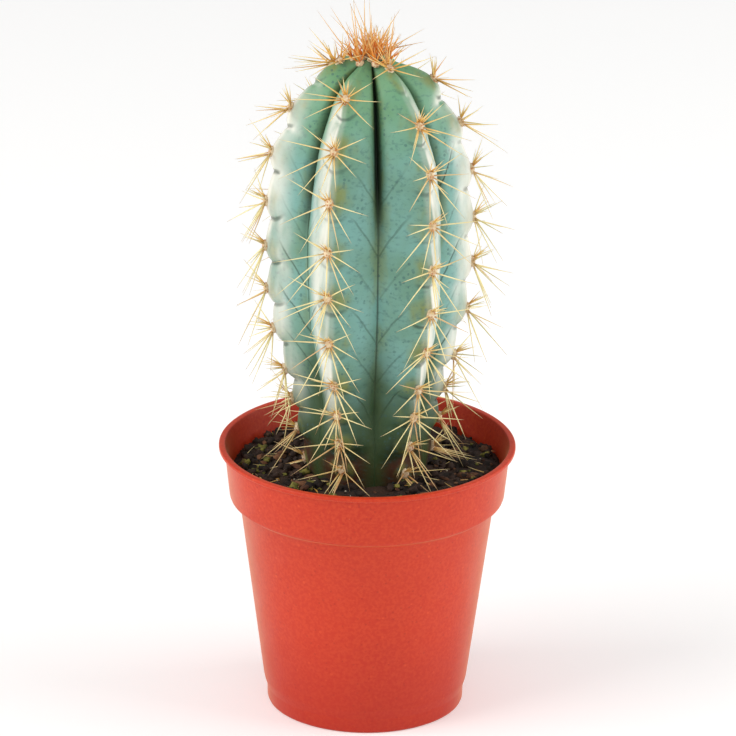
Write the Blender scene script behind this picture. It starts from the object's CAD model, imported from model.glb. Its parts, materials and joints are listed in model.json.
"""The looks of a tall blue-green cactus in a moulded terracotta-coloured nursery pot.

Metres, +Z up, -Y the front. The pot, mix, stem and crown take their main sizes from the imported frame's
boxes. Each sub-assembly is a class that shapes its meshes and dresses them in its finishes.
"""

import json
import logging
import math
import random
from dataclasses import dataclass, field
from enum import Enum
from typing import Iterable, Sequence

import bmesh
import bpy
from mathutils import Matrix, Vector, noise

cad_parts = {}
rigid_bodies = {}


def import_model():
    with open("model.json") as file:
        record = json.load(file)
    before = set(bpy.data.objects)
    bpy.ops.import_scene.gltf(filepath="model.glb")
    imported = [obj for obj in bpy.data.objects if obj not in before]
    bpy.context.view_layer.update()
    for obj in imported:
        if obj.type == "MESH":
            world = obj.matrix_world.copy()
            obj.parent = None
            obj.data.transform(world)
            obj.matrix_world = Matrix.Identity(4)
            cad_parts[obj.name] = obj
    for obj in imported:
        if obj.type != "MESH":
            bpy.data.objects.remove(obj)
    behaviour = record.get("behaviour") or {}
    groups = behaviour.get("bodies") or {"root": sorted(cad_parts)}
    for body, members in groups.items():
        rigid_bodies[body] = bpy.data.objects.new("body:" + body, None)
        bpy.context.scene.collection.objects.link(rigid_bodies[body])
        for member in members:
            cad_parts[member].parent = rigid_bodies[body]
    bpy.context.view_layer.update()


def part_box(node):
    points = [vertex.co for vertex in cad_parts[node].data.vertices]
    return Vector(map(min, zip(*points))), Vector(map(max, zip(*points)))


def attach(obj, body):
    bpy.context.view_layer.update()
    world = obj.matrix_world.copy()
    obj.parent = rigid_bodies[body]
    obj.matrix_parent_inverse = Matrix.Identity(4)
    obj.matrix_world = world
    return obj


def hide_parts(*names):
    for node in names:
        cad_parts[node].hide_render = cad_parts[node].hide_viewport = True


LOG = logging.getLogger("cactus")
MM = 0.001
BODY = "root"
AIM_HEIGHT = 101.5 * MM

Colour = tuple[float, float, float]
Outline = list[tuple[float, float]]


class Slot(Enum):
    """The record's material slots."""

    POT = "pot_plastic"
    MIX = "potting_mix"
    SKIN = "stem_skin"
    SPINES = "spines"
    CROWN = "crown_spines"
    FELT = "areole_felt"
    BITS = "soil_bits"


# ---------------------------------------------------------------------------------------------
# Small helpers
# ---------------------------------------------------------------------------------------------


def srgb(red: int, green: int, blue: int) -> Colour:
    """A display colour of 0 to 255 a channel as linear light."""

    def linear(channel: int) -> float:
        """One channel as linear light."""
        share = channel / 255
        return share / 12.92 if share <= 0.04045 else ((share + 0.055) / 1.055) ** 2.4

    return linear(red), linear(green), linear(blue)


def ramp(value: float, low: float, high: float) -> float:
    """0 at low, 1 at high and a smooth step between."""
    share = min(max((value - low) / (high - low), 0.0), 1.0)
    return share * share * (3 - 2 * share)


def between(points: Sequence[tuple[float, float]], at: float) -> float:
    """The height at one place on a line of (place, height) points.

    Args:
        points: The line's points, in rising order of place.
        at: The place asked for.

    Returns:
        The height there, held level past either end.
    """
    if at <= points[0][0]:
        return points[0][1]
    for (start, low), (end, high) in zip(points, points[1:]):
        if at <= end:
            return low + (high - low) * (at - start) / (end - start)
    return points[-1][1]


def smooth_line(points: Sequence[Vector], spans: int) -> list[Vector]:
    """A Catmull-Rom curve through points.

    Args:
        points: The points it passes through.
        spans: How many steps each stretch between two points is cut into.

    Returns:
        The curve's points, ends included.
    """
    controls = [points[0], *points, points[-1]]
    line = []
    for before, start, end, after in zip(controls, controls[1:], controls[2:], controls[3:]):
        for step in range(spans):
            t = step / spans
            straight = 2 * start + (end - before) * t
            curve = (2 * before - 5 * start + 4 * end - after) * t**2
            line.append(0.5 * (straight + curve + (3 * start - before - 3 * end + after) * t**3))
    line.append(controls[-1])
    return line


def evenly_spaced(line: Sequence[Vector], count: int) -> list[Vector]:
    """A line's points dealt out again at equal distances.

    Args:
        line: The line's points.
        count: How many points it gets.

    Returns:
        The new points, both ends included.
    """
    travelled = [0.0]
    for start, end in zip(line, line[1:]):
        travelled.append(travelled[-1] + (end - start).length)
    spaced = []
    span = 0
    for index in range(count):
        wanted = travelled[-1] * index / (count - 1)
        while span < len(line) - 2 and travelled[span + 1] < wanted:
            span += 1
        share = (wanted - travelled[span]) / (travelled[span + 1] - travelled[span])
        spaced.append(line[span].lerp(line[span + 1], share))
    return spaced


def turned(outline: Sequence[tuple[float, float]], steps: int) -> bmesh.types.BMesh:
    """Turns a (radius, height) outline about +Z, and closes it where it meets the axis.

    Args:
        outline: The outline's points, in order.
        steps: How many faces go round.

    Returns:
        The turned shape, facing out.
    """
    shape = bmesh.new()
    points = [shape.verts.new((radius, 0.0, height)) for radius, height in outline]
    edges = [shape.edges.new(pair) for pair in zip(points, points[1:])]
    bmesh.ops.spin(
        shape,
        geom=points + edges,
        cent=(0, 0, 0),
        axis=(0, 0, 1),
        angle=math.tau,
        steps=steps,
        use_merge=True,
    )
    bmesh.ops.remove_doubles(shape, verts=shape.verts, dist=0.001 * MM)
    bmesh.ops.recalc_face_normals(shape, faces=shape.faces)
    return shape


def add_copy(shape: bmesh.types.BMesh, template: bpy.types.Mesh) -> list[bmesh.types.BMVert]:
    """Adds a template's mesh to a shape.

    Args:
        shape: The shape that grows.
        template: What is added.

    Returns:
        The added corners, in the template's order.
    """
    shape.from_mesh(template)
    shape.verts.ensure_lookup_table()
    return shape.verts[-len(template.vertices):]


def template_mesh(name: str, shape: bmesh.types.BMesh) -> bpy.types.Mesh:
    """Keeps a small shape as a mesh to copy from."""
    mesh = bpy.data.meshes.new(name)
    shape.to_mesh(mesh)
    shape.free()
    return mesh


def place_piece(
    name: str,
    shape: bmesh.types.BMesh,
    material: bpy.types.Material,
    replaced: Iterable[str] = (),
) -> bpy.types.Object:
    """Makes a shape a finished piece that rides on the plant's one body.

    Args:
        name: The piece's name.
        shape: Its shape, which is used up.
        material: Its finish.
        replaced: The CAD nodes that it stands for.

    Returns:
        The new object.
    """
    mesh = bpy.data.meshes.new(name)
    shape.to_mesh(mesh)
    shape.free()
    mesh.shade_smooth()
    mesh.materials.append(material)
    piece = bpy.data.objects.new(name, mesh)
    bpy.context.collection.objects.link(piece)
    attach(piece, BODY)
    nodes = list(replaced)
    if nodes:
        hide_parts(*nodes)
    LOG.info("%s: %d faces, for %d nodes", name, len(mesh.polygons), len(nodes))
    return piece


# ---------------------------------------------------------------------------------------------
# Finishes
# ---------------------------------------------------------------------------------------------

Socket = bpy.types.NodeSocket
Value = float | Socket
Tint = Colour | Socket


class Nodes:
    """A node tree with a short call for each kind of node that the finishes use."""

    def __init__(self, tree: bpy.types.NodeTree) -> None:
        """Takes over a tree."""
        self.tree = tree

    def add(self, kind: str, **settings: object) -> bpy.types.Node:
        """Adds a node and sets its properties."""
        node = self.tree.nodes.new(kind)
        for key, value in settings.items():
            setattr(node, key, value)
        return node

    def feed(self, socket: Socket, value: Value | Tint) -> None:
        """Links a socket to another, or sets its own value."""
        if isinstance(value, bpy.types.NodeSocket):
            self.tree.links.new(value, socket)
        elif isinstance(value, tuple) and len(value) == 3 and len(socket.default_value) == 4:
            socket.default_value = (*value, 1.0)
        else:
            socket.default_value = value

    def math(self, operation: str, first: Value, second: Value = 0.0, clamp: bool = False) -> Socket:
        """One step of arithmetic.

        Args:
            operation: Blender's name for the step.
            first: What it works on.
            second: Its other number, where it takes one.
            clamp: Whether the result stays between 0 and 1.

        Returns:
            The result.
        """
        node = self.add("ShaderNodeMath", operation=operation, use_clamp=clamp)
        self.feed(node.inputs[0], first)
        if operation not in ("ABSOLUTE", "FRACT", "FLOOR", "SQRT"):
            self.feed(node.inputs[1], second)
        return node.outputs[0]

    def step(self, value: Value, low: float, high: float) -> Socket:
        """A smooth step that is 0 at low and 1 at high, which may be the smaller of the two."""
        node = self.add("ShaderNodeMapRange", interpolation_type="SMOOTHSTEP")
        self.feed(node.inputs["Value"], value)
        rising = low < high
        self.feed(node.inputs["From Min"], low if rising else high)
        self.feed(node.inputs["From Max"], high if rising else low)
        self.feed(node.inputs["To Min"], 0.0 if rising else 1.0)
        self.feed(node.inputs["To Max"], 1.0 if rising else 0.0)
        return node.outputs["Result"]

    def mix(self, share: Value, first: Tint, second: Tint, blend: str = "MIX") -> Socket:
        """Blends two colours.

        Args:
            share: 0 for the first colour, 1 for the second.
            first: The colour underneath.
            second: The colour laid over it.
            blend: Blender's name for how it is laid.

        Returns:
            The blended colour.
        """
        node = self.add("ShaderNodeMix", data_type="RGBA", blend_type=blend)
        self.feed(node.inputs[0], share)
        self.feed(node.inputs[6], first)
        self.feed(node.inputs[7], second)
        return node.outputs[2]

    def noise(self, where: Socket, scale: float, detail: float = 2.0, rough: float = 0.5) -> Socket:
        """Cloudy noise between 0 and 1, so many waves to the metre."""
        node = self.add("ShaderNodeTexNoise")
        self.feed(node.inputs["Vector"], where)
        self.feed(node.inputs["Scale"], scale)
        self.feed(node.inputs["Detail"], detail)
        self.feed(node.inputs["Roughness"], rough)
        return node.outputs["Fac"]

    def stretched(self, where: Socket, scale: tuple[float, float, float]) -> Socket:
        """Coordinates stretched along the axes."""
        node = self.add("ShaderNodeMapping")
        self.feed(node.inputs["Vector"], where)
        self.feed(node.inputs["Scale"], scale)
        return node.outputs["Vector"]

    def split(self, where: Socket) -> tuple[Socket, Socket, Socket]:
        """A vector's three numbers."""
        node = self.add("ShaderNodeSeparateXYZ")
        self.feed(node.inputs[0], where)
        return node.outputs[0], node.outputs[1], node.outputs[2]

    def object_place(self) -> Socket:
        """Where a point is on the object, in metres."""
        return self.add("ShaderNodeTexCoord").outputs["Object"]

    def marks(self, name: str) -> tuple[Socket, Socket, Socket]:
        """The red, green and blue of an attribute that the mesh carries."""
        node = self.add("ShaderNodeAttribute", attribute_name=name, attribute_type="GEOMETRY")
        return self.split(node.outputs["Vector"])

    def bump(self, height: Socket, distance: float, strength: float, under: Socket | None = None) -> Socket:
        """A normal that follows a height.

        Args:
            height: The height, 0 to 1.
            distance: How tall 1 is, in metres.
            strength: How much of it shows.
            under: A normal that this one adds to.

        Returns:
            The normal.
        """
        node = self.add("ShaderNodeBump")
        self.feed(node.inputs["Strength"], strength)
        self.feed(node.inputs["Distance"], distance)
        self.feed(node.inputs["Height"], height)
        if under is not None:
            self.feed(node.inputs["Normal"], under)
        return node.outputs["Normal"]

    def effect(self, group: bpy.types.NodeTree, **values: Value | Tint) -> dict[str, Socket]:
        """Places a shared effect.

        Args:
            group: The effect's node group.
            values: Its inputs, by name with underscores for spaces.

        Returns:
            Its outputs, by name.
        """
        node = self.add("ShaderNodeGroup", node_tree=group)
        for key, value in values.items():
            self.feed(node.inputs[key.replace("_", " ")], value)
        return {socket.name: socket for socket in node.outputs}


class SharedEffects:
    """Node groups that more than one finish uses, each built once."""

    def __init__(self) -> None:
        """Builds them all."""
        self.mottle = self._mottle()
        self.specks = self._specks()

    @staticmethod
    def _group(name: str, inputs: dict[str, str], outputs: dict[str, str]) -> bpy.types.NodeTree:
        """An empty group with its sockets, which map a name to a socket type."""
        group = bpy.data.node_groups.new(name, "ShaderNodeTree")
        for in_out, sockets in (("INPUT", inputs), ("OUTPUT", outputs)):
            for socket, kind in sockets.items():
                group.interface.new_socket(name=socket, in_out=in_out, socket_type=kind)
        group.nodes.new("NodeGroupInput")
        group.nodes.new("NodeGroupOutput")
        return group

    def _mottle(self) -> bpy.types.NodeTree:
        """Two colours drifting into each other, with the drift given out as a value as well."""
        group = self._group(
            "mottle",
            {
                "Place": "NodeSocketVector",
                "Scale": "NodeSocketFloat",
                "Colour": "NodeSocketColor",
                "Other Colour": "NodeSocketColor",
                "Amount": "NodeSocketFloat",
            },
            {"Colour": "NodeSocketColor", "Drift": "NodeSocketFloat"},
        )
        nodes = Nodes(group)
        given = group.nodes["Group Input"].outputs
        cloud = nodes.add("ShaderNodeTexNoise")
        nodes.feed(cloud.inputs["Vector"], given["Place"])
        nodes.feed(cloud.inputs["Scale"], given["Scale"])
        nodes.feed(cloud.inputs["Detail"], 4.0)
        drift = nodes.step(cloud.outputs["Fac"], 0.35, 0.68)
        share = nodes.math("MULTIPLY", drift, given["Amount"])
        colour = nodes.mix(share, given["Colour"], given["Other Colour"])
        wanted = group.nodes["Group Output"].inputs
        nodes.feed(wanted["Colour"], colour)
        nodes.feed(wanted["Drift"], drift)
        return group

    def _specks(self) -> bpy.types.NodeTree:
        """Small scattered dots as a mask: 1 inside a dot."""
        group = self._group(
            "specks",
            {
                "Place": "NodeSocketVector",
                "Scale": "NodeSocketFloat",
                "Size": "NodeSocketFloat",
                "Share": "NodeSocketFloat",
            },
            {"Mask": "NodeSocketFloat"},
        )
        nodes = Nodes(group)
        given = group.nodes["Group Input"].outputs
        cells = nodes.add("ShaderNodeTexVoronoi")
        nodes.feed(cells.inputs["Vector"], given["Place"])
        nodes.feed(cells.inputs["Scale"], given["Scale"])
        inside = nodes.math("LESS_THAN", cells.outputs["Distance"], given["Size"])
        chosen, _, _ = nodes.split(cells.outputs["Color"])
        kept = nodes.math("LESS_THAN", chosen, given["Share"])
        nodes.feed(group.nodes["Group Output"].inputs["Mask"], nodes.math("MULTIPLY", inside, kept))
        return group


def new_material(name: str) -> tuple[bpy.types.Material, Nodes, bpy.types.Node]:
    """An empty material, its nodes and its Principled shader."""
    material = bpy.data.materials.new(name)
    material.use_nodes = True
    shader = material.node_tree.nodes["Principled BSDF"]
    return material, Nodes(material.node_tree), shader


@dataclass(frozen=True)
class PotPlastic:
    """Moulded terracotta-coloured plastic: finely speckled, satin, a little dusty."""

    colour: Colour = srgb(196, 46, 10)
    darker: Colour = srgb(160, 26, 8)
    paler: Colour = srgb(220, 84, 36)
    edge: Colour = srgb(216, 138, 92)
    fleck_scale: float = 900.0
    roughness: float = 0.46

    def build(self, effects: SharedEffects) -> bpy.types.Material:
        """Builds the material."""
        material, nodes, shader = new_material("pot_plastic")
        place = nodes.object_place()
        broad = nodes.effect(
            effects.mottle, Place=place, Scale=30.0, Colour=self.colour, Other_Colour=self.darker, Amount=0.16
        )
        fine = nodes.effect(
            effects.mottle,
            Place=place,
            Scale=1100.0,
            Colour=broad["Colour"],
            Other_Colour=self.paler,
            Amount=0.3,
        )
        dots = nodes.effect(effects.specks, Place=place, Scale=self.fleck_scale, Size=0.3, Share=0.1)
        flecks = dots["Mask"]
        colour = nodes.mix(nodes.math("MULTIPLY", flecks, 0.35), fine["Colour"], self.darker)
        pale = nodes.effect(effects.specks, Place=place, Scale=620.0, Size=0.26, Share=0.07)["Mask"]
        colour = nodes.mix(nodes.math("MULTIPLY", pale, 0.4), colour, self.paler)
        _, _, height = nodes.split(place)
        colour = nodes.mix(nodes.math("MULTIPLY", nodes.step(height, 0.04, 0.0), 0.5), colour, self.darker)
        rim = nodes.add("ShaderNodeLayerWeight")
        nodes.feed(rim.inputs["Blend"], 0.3)
        turned_away = nodes.step(rim.outputs["Facing"], 0.35, 1.0)
        colour = nodes.mix(nodes.math("MULTIPLY", turned_away, 0.6), colour, self.edge)
        nodes.feed(shader.inputs["Base Color"], colour)
        uneven = nodes.noise(place, 160.0, 3.0)
        rough = nodes.math("ADD", nodes.math("MULTIPLY", uneven, 0.16), self.roughness - 0.08)
        nodes.feed(shader.inputs["Roughness"], rough)
        grain = nodes.noise(place, 1500.0, 2.0)
        flow = nodes.noise(nodes.stretched(place, (1.0, 1.0, 3.0)), 60.0, 1.0)
        normal = nodes.bump(grain, 0.05 * MM, 0.5)
        normal = nodes.bump(flow, 0.4 * MM, 0.25, normal)
        nodes.feed(shader.inputs["Normal"], normal)
        nodes.feed(shader.inputs["Specular IOR Level"], 0.35)
        return material


@dataclass(frozen=True)
class StemSkin:
    """Waxy blue-green skin: chevron seams, creases under the areoles, olive tints and pale bloom.

    The mesh gives it UVs, whose first number is 0.5 on a rib's crest and whole in a groove, and
    whose second is whole at that rib's areoles, and a "marks" attribute: seam strength, crease
    strength and the height up the stem as a share.
    """

    blue: Colour = srgb(116, 166, 158)
    green: Colour = srgb(98, 138, 112)
    young: Colour = srgb(104, 156, 98)
    old: Colour = srgb(48, 74, 36)
    base: Colour = srgb(28, 34, 16)
    cork: Colour = srgb(74, 44, 28)
    olive: Colour = srgb(128, 138, 76)
    seam: Colour = srgb(36, 62, 46)
    groove: Colour = srgb(14, 26, 14)
    bloom: Colour = srgb(232, 232, 222)
    speck: Colour = srgb(58, 96, 98)
    seam_spacing: float = 13.6 * MM
    seam_rise: float = 15.0 * MM
    seam_reach: float = 0.36
    seam_curve: float = 0.85
    crease_level: float = 0.6
    crease_curve: float = 4.0

    def seam_foot(self, height: float, side: float) -> float:
        """The height at which the seam through a point meets the groove."""
        reach = max((0.5 - abs(side)) / self.seam_reach, 0.0)
        return height - self.seam_rise * reach**self.seam_curve

    def build(self, effects: SharedEffects) -> bpy.types.Material:
        """Builds the material."""
        material, nodes, shader = new_material("stem_skin")
        place = nodes.object_place()
        _, _, height = nodes.split(place)
        seam_strength, crease_strength, up = nodes.marks("marks")
        uv = nodes.add("ShaderNodeUVMap", uv_map="ribs").outputs["UV"]
        around, areole, _ = nodes.split(uv)
        side = nodes.math("SUBTRACT", nodes.math("FRACT", around), 0.5)
        off_crest = nodes.math("ABSOLUTE", side)
        off_groove = nodes.math("SUBTRACT", 0.5, off_crest)
        wobble = nodes.math("SUBTRACT", nodes.noise(place, 210.0, 2.0), 0.5)

        body = nodes.effect(
            effects.mottle, Place=place, Scale=55.0, Colour=self.blue, Other_Colour=self.green, Amount=0.75
        )
        colour = self._age_tints(nodes, body["Colour"], up, wobble)
        colour = self._olive_tints(nodes, colour, off_crest, off_groove, areole, wobble, place, up)
        dots = nodes.effect(effects.specks, Place=place, Scale=820.0, Size=0.36, Share=0.3)["Mask"]
        patches = nodes.step(nodes.noise(place, 110.0, 3.0), 0.46, 0.62)
        dots = nodes.math("MULTIPLY", dots, nodes.math("ADD", nodes.math("MULTIPLY", patches, 0.5), 0.06))
        colour = nodes.mix(dots, colour, self.speck)
        stipple = nodes.step(nodes.noise(nodes.stretched(place, (1.0, 1.0, 1.6)), 620.0, 4.0, 0.6), 0.5, 0.72)
        colour = nodes.mix(nodes.math("MULTIPLY", stipple, 0.42), colour, self.speck)
        colour = self._bloom(nodes, colour, off_crest, place, up)
        lines = self._lines(
            nodes, off_crest, off_groove, areole, height, wobble, seam_strength, crease_strength
        )
        colour = nodes.mix(nodes.math("MULTIPLY", lines, 0.95), colour, self.seam)
        wedge = nodes.math("MULTIPLY", nodes.step(off_groove, 0.15, 0.02), nodes.step(up, 0.5, 0.72))
        colour = nodes.mix(nodes.math("MULTIPLY", wedge, 0.6), colour, self.old)
        foot = nodes.math("MULTIPLY", nodes.step(off_groove, 0.3, 0.02), nodes.step(up, 0.42, 0.2))
        colour = nodes.mix(nodes.math("MULTIPLY", foot, 0.75), colour, self.old)
        deep = nodes.math("MULTIPLY", nodes.step(off_groove, 0.075, 0.01), nodes.step(up, 0.58, 0.76))
        colour = nodes.mix(nodes.math("MULTIPLY", deep, 0.95), colour, self.groove)
        nodes.feed(shader.inputs["Base Color"], colour)

        waxy = nodes.math("MULTIPLY", body["Drift"], 0.12)
        nodes.feed(shader.inputs["Roughness"], nodes.math("ADD", waxy, 0.46))
        pores = nodes.noise(place, 1700.0, 2.0)
        ripples = nodes.noise(nodes.stretched(place, (1.0, 1.0, 2.2)), 260.0, 3.0)
        normal = nodes.bump(pores, 0.06 * MM, 0.45)
        normal = nodes.bump(ripples, 0.3 * MM, 0.4, normal)
        normal = nodes.bump(nodes.math("SUBTRACT", 1.0, lines), 0.35 * MM, 0.6, normal)
        nodes.feed(shader.inputs["Normal"], normal)
        nodes.feed(shader.inputs["Specular IOR Level"], 0.4)
        return material

    def _age_tints(self, nodes: Nodes, colour: Socket, up: Socket, wobble: Socket) -> Socket:
        """Fresh green at the top, dark green low down and brown cork at the soil."""
        level = nodes.math("ADD", up, nodes.math("MULTIPLY", wobble, 0.08))
        colour = nodes.mix(nodes.math("MULTIPLY", nodes.step(level, 0.74, 1.0), 0.7), colour, self.young)
        colour = nodes.mix(nodes.math("MULTIPLY", nodes.step(level, 0.34, 0.12), 0.92), colour, self.old)
        colour = nodes.mix(nodes.math("MULTIPLY", nodes.step(level, 0.14, 0.06), 0.9), colour, self.base)
        return nodes.mix(nodes.step(level, 0.085, 0.05), colour, self.cork)

    def _olive_tints(
        self,
        nodes: Nodes,
        colour: Socket,
        off_crest: Socket,
        off_groove: Socket,
        areole: Socket,
        wobble: Socket,
        place: Socket,
        up: Socket,
    ) -> Socket:
        """Yellowish green beside the grooves and round each areole.

        Args:
            nodes: The material's nodes.
            colour: The skin so far.
            off_crest: How far a point is from its rib's crest, in ribs.
            off_groove: How far it is from the groove, in ribs.
            areole: Its place among the rib's areoles.
            wobble: A small disturbance about 0.
            place: Its place on the object.
            up: Its height as a share of the stem.

        Returns:
            The tinted colour.
        """
        streaks = nodes.step(nodes.noise(nodes.stretched(place, (1.0, 1.0, 0.4)), 260.0, 4.0), 0.4, 0.62)
        near_groove = nodes.math("ADD", off_groove, nodes.math("MULTIPLY", wobble, 0.08))
        beside = nodes.math("MULTIPLY", nodes.step(near_groove, 0.17, 0.02), streaks)
        beside = nodes.math("MULTIPLY", beside, nodes.math("ADD", nodes.math("MULTIPLY", up, 0.55), 0.15))
        colour = nodes.mix(beside, colour, self.olive)
        turn = nodes.math("SUBTRACT", nodes.math("FRACT", nodes.math("ADD", areole, 0.5)), 0.5)
        along = nodes.math("MULTIPLY", turn, 1.6)
        across = nodes.math("MULTIPLY", off_crest, 3.0)
        reach = nodes.math("ADD", nodes.math("POWER", across, 2.0), nodes.math("MULTIPLY", along, along))
        reach = nodes.math("ADD", nodes.math("SQRT", reach), nodes.math("MULTIPLY", wobble, 0.5))
        ring = nodes.math("MULTIPLY", nodes.step(reach, 0.75, 0.3), 0.7)
        share = nodes.math("MULTIPLY", ring, nodes.math("ADD", streaks, 0.25), True)
        return nodes.mix(share, colour, self.olive)

    def _bloom(self, nodes: Nodes, colour: Socket, off_crest: Socket, place: Socket, up: Socket) -> Socket:
        """Pale wax on the flanks that faced the light, to the left and right, and thinly on crests."""
        facing = nodes.add("ShaderNodeTexCoord").outputs["Normal"]
        across, _, _ = nodes.split(facing)
        left = nodes.step(across, -0.3, -0.85)
        right = nodes.step(across, 0.6, 0.88)
        lit = nodes.math("MAXIMUM", left, right)
        drift = nodes.step(nodes.noise(nodes.stretched(place, (1.0, 1.0, 0.35)), 110.0, 4.0), 0.28, 0.6)
        near = nodes.step(off_crest, 0.42, 0.12)
        amount = nodes.math("MULTIPLY", nodes.math("MULTIPLY", lit, near), nodes.math("ADD", drift, 0.35))
        amount = nodes.math("MULTIPLY", amount, 0.66)
        middle = nodes.math("MULTIPLY", nodes.step(up, 0.1, 0.3), nodes.step(up, 1.0, 0.9))
        thin = nodes.math("MULTIPLY", nodes.step(off_crest, 0.07, 0.02), 0.22)
        share = nodes.math("MULTIPLY", nodes.math("ADD", amount, thin), middle, True)
        return nodes.mix(share, colour, self.bloom)

    def _lines(
        self,
        nodes: Nodes,
        off_crest: Socket,
        off_groove: Socket,
        areole: Socket,
        height: Socket,
        wobble: Socket,
        seam_strength: Socket,
        crease_strength: Socket,
    ) -> Socket:
        """The seams that run down from the ribs and meet in the grooves, and the short creases.

        Args:
            nodes: The material's nodes.
            off_crest: How far a point is from its rib's crest, in ribs.
            off_groove: How far it is from the groove, in ribs.
            areole: Its place among the rib's areoles.
            height: Its height in metres.
            wobble: A small disturbance about 0.
            seam_strength: How dark its seam is.
            crease_strength: How dark its crease is.

        Returns:
            A mask, 1 on a line.
        """
        reach = nodes.math("DIVIDE", nodes.math("MAXIMUM", off_groove, 0.0), self.seam_reach)
        rise = nodes.math("MULTIPLY", nodes.math("POWER", reach, self.seam_curve), self.seam_rise)
        foot = nodes.math("SUBTRACT", height, rise)
        foot = nodes.math("ADD", foot, nodes.math("MULTIPLY", wobble, 1.6 * MM))
        turn = nodes.math("FRACT", nodes.math("DIVIDE", foot, self.seam_spacing))
        off_seam = nodes.math("ABSOLUTE", nodes.math("SUBTRACT", turn, 0.5))
        seam = nodes.math("MULTIPLY", nodes.step(off_seam, 0.055, 0.012), seam_strength)
        curve = nodes.math("MULTIPLY", nodes.math("POWER", off_crest, 2.0), self.crease_curve)
        level = nodes.math("SUBTRACT", nodes.math("FRACT", areole), curve)
        level = nodes.math("ADD", level, nodes.math("MULTIPLY", wobble, 0.12))
        off_crease = nodes.math("ABSOLUTE", nodes.math("SUBTRACT", level, self.crease_level))
        crease = nodes.math("MULTIPLY", nodes.step(off_crease, 0.07, 0.01), crease_strength)
        crease = nodes.math("MULTIPLY", crease, 0.8)
        groove = nodes.math("MULTIPLY", nodes.step(off_groove, 0.018, 0.004), 0.8)
        return nodes.math("MAXIMUM", nodes.math("MAXIMUM", seam, crease), groove)


@dataclass(frozen=True)
class SpineFinish:
    """Horny spines: amber roots, straw-coloured shafts and darker tips.

    The mesh carries a "marks" attribute: the place along a spine, its own shade and how amber it is.
    """

    name: str
    shaft: Colour = srgb(250, 238, 176)
    amber: Colour = srgb(238, 178, 62)
    root: Colour = srgb(204, 140, 72)
    tip: Colour = srgb(168, 142, 110)
    rust: Colour = srgb(206, 134, 84)

    def build(self) -> bpy.types.Material:
        """Builds the material."""
        material, nodes, shader = new_material(self.name)
        along, shade, ambered = nodes.marks("marks")
        near_root = nodes.math("MULTIPLY", ambered, nodes.step(along, 1.0, 0.1))
        colour = nodes.mix(near_root, self.shaft, self.amber)
        colour = nodes.mix(nodes.math("MULTIPLY", nodes.step(shade, 0.8, 1.0), 0.55), colour, self.rust)
        colour = nodes.mix(nodes.math("MULTIPLY", nodes.step(along, 0.18, 0.02), 0.6), colour, self.root)
        colour = nodes.mix(nodes.math("MULTIPLY", nodes.step(along, 0.78, 1.0), 0.7), colour, self.tip)
        grain = nodes.noise(nodes.object_place(), 900.0, 2.0)
        colour = nodes.mix(nodes.math("MULTIPLY", grain, 0.25), colour, self.root, "MULTIPLY")
        nodes.feed(shader.inputs["Base Color"], colour)
        nodes.feed(shader.inputs["Roughness"], nodes.math("ADD", nodes.math("MULTIPLY", grain, 0.2), 0.3))
        nodes.feed(shader.inputs["Normal"], nodes.bump(grain, 0.03 * MM, 0.4))
        return material


@dataclass(frozen=True)
class FeltFinish:
    """Short dense wool: cream with orange-brown dots where spines come through."""

    wool: Colour = srgb(234, 214, 178)
    shade: Colour = srgb(190, 150, 98)
    dot: Colour = srgb(186, 104, 44)

    def build(self, effects: SharedEffects) -> bpy.types.Material:
        """Builds the material."""
        material, nodes, shader = new_material("areole_felt")
        place = nodes.object_place()
        wool = nodes.effect(
            effects.mottle, Place=place, Scale=900.0, Colour=self.wool, Other_Colour=self.shade, Amount=0.8
        )
        dots = nodes.effect(effects.specks, Place=place, Scale=1250.0, Size=0.42, Share=0.34)["Mask"]
        colour = nodes.mix(nodes.math("MULTIPLY", dots, 0.75), wool["Colour"], self.dot)
        nodes.feed(shader.inputs["Base Color"], colour)
        rough = nodes.math("ADD", nodes.math("MULTIPLY", wool["Drift"], 0.1), 0.85)
        nodes.feed(shader.inputs["Roughness"], rough)
        fuzz = nodes.noise(place, 2600.0, 3.0)
        nodes.feed(shader.inputs["Normal"], nodes.bump(fuzz, 0.2 * MM, 0.8))
        nodes.feed(shader.inputs["Sheen Weight"], 0.4)
        nodes.feed(shader.inputs["Sheen Roughness"], 0.5)
        return material


@dataclass(frozen=True)
class EarthFinish:
    """Crumbly organic matter between two colours, with paler flecks."""

    name: str
    colour: Colour
    other: Colour
    fleck: Colour
    scale: float
    roughness: float = 0.9

    def build(self, effects: SharedEffects) -> bpy.types.Material:
        """Builds the material."""
        material, nodes, shader = new_material(self.name)
        place = nodes.object_place()
        earth = nodes.effect(
            effects.mottle,
            Place=place,
            Scale=self.scale,
            Colour=self.colour,
            Other_Colour=self.other,
            Amount=1.0,
        )
        flecks = nodes.effect(effects.specks, Place=place, Scale=self.scale * 4, Size=0.3, Share=0.12)["Mask"]
        colour = nodes.mix(nodes.math("MULTIPLY", flecks, 0.5), earth["Colour"], self.fleck)
        nodes.feed(shader.inputs["Base Color"], colour)
        rough = nodes.math("SUBTRACT", self.roughness, nodes.math("MULTIPLY", earth["Drift"], 0.15))
        nodes.feed(shader.inputs["Roughness"], rough)
        crumbs = nodes.noise(place, self.scale * 5, 4.0, 0.65)
        nodes.feed(shader.inputs["Normal"], nodes.bump(crumbs, 0.5 * MM, 0.7))
        return material


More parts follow.
